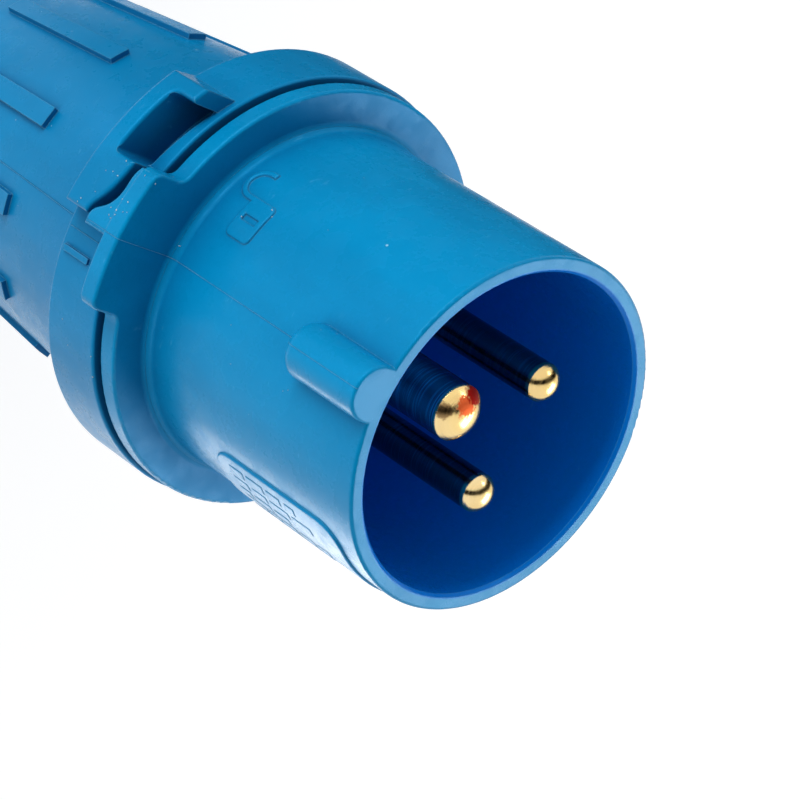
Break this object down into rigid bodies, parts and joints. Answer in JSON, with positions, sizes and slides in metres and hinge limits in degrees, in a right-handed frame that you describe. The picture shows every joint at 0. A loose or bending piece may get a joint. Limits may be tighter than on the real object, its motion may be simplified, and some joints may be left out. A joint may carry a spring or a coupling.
{
  "type": "industrial pin and sleeve plug",
  "caption": "Round industrial power plug: keyed shroud around brass pins, locking flange, tapered handle with screw terminals inside and a cable gland nut.",
  "frame": {"origin": "on the plug's axis, at the front face of the flange", "axes": "+Z along the plug's axis out of the mouth, -Y through the key rib; the plug stands on its gland nut"},
  "size_m": [0.0578, 0.0618, 0.1358],
  "materials": {
    "shroud_blue": "moulded polyamide, satin, fine mould lines",
    "housing_blue": "moulded polyamide, satin",
    "insulator_grey": "moulded, matt",
    "seal_rubber": "soft black rubber",
    "pin_brass": "turned, bright",
    "pad_brass": "pressed, plain",
    "screw_steel": "zinc plated"
  },
  "bodies": {
    "front": {"front_housing": "shroud_blue", "contact_retainer": "insulator_grey", "housing_seal": "seal_rubber", "earth_pin": "pin_brass", "line_pin": "pin_brass", "neutral_pin": "pin_brass", "retainer_screw_1": "screw_steel", "retainer_screw_2": "screw_steel", "retainer_screw_3": "screw_steel"},
    "rear": {"rear_housing": "housing_blue", "cable_grommet": "seal_rubber", "clamp_cage": "insulator_grey"},
    "gland_slip": {"slip_ring": "insulator_grey"},
    "gland": {"gland_nut": "housing_blue"},
    "earth_pad": {"earth_clamp_pad": "pad_brass"},
    "earth_screw": {"earth_terminal_screw": "screw_steel"},
    "line_pad": {"line_clamp_pad": "pad_brass"},
    "line_screw": {"line_terminal_screw": "screw_steel"},
    "neutral_pad": {"neutral_clamp_pad": "pad_brass"},
    "neutral_screw": {"neutral_terminal_screw": "screw_steel"}
  },
  "joints": [
    {"name": "housing_twist", "type": "hinge", "parent": "front", "child": "rear", "pos_m": [0, 0, 0], "axis": [0, 0, -1], "range_deg": [0, 30]},
    {"name": "gland_slide", "type": "slide", "parent": "rear", "child": "gland_slip", "axis": [0, 0, -1], "range_m": [0, 0.00401]},
    {"name": "gland_turn", "type": "hinge", "parent": "gland_slip", "child": "gland", "pos_m": [0, 0, -0.0822], "axis": [0, 0, -1], "range_deg": [0, 720]},
    {"name": "earth_clamp", "type": "slide", "parent": "front", "child": "earth_pad", "axis": [0.0958, 0.9954, 0], "range_m": [0, 0.00245]},
    {"name": "earth_screw_turn", "type": "hinge", "parent": "earth_pad", "child": "earth_screw", "pos_m": [-0.00085, -0.00886, -0.0145], "axis": [0.0958, 0.9954, 0], "range_deg": [0, 1261]},
    {"name": "line_clamp", "type": "slide", "parent": "front", "child": "line_pad", "axis": [-0.91, -0.4147, 0], "range_m": [0, 0.00245]},
    {"name": "line_screw_turn", "type": "hinge", "parent": "line_pad", "child": "line_screw", "pos_m": [0.0081, 0.00369, -0.0145], "axis": [-0.91, -0.4147, 0], "range_deg": [0, 1261]},
    {"name": "neutral_clamp", "type": "slide", "parent": "front", "child": "neutral_pad", "axis": [0.8141, -0.5807, 0], "range_m": [0, 0.00245]},
    {"name": "neutral_screw_turn", "type": "hinge", "parent": "neutral_pad", "child": "neutral_screw", "pos_m": [-0.00725, 0.00517, -0.0145], "axis": [0.8141, -0.5807, 0], "range_deg": [0, 1261]}
  ],
  "couplings": [
    {"joint": "gland_slide", "follows": "gland_turn", "m_per_rad": 0.00031831},
    {"joint": "earth_screw_turn", "follows": "earth_clamp", "rad_per_m": 8976},
    {"joint": "line_screw_turn", "follows": "line_clamp", "rad_per_m": 8976},
    {"joint": "neutral_screw_turn", "follows": "neutral_clamp", "rad_per_m": 8976}
  ]
}
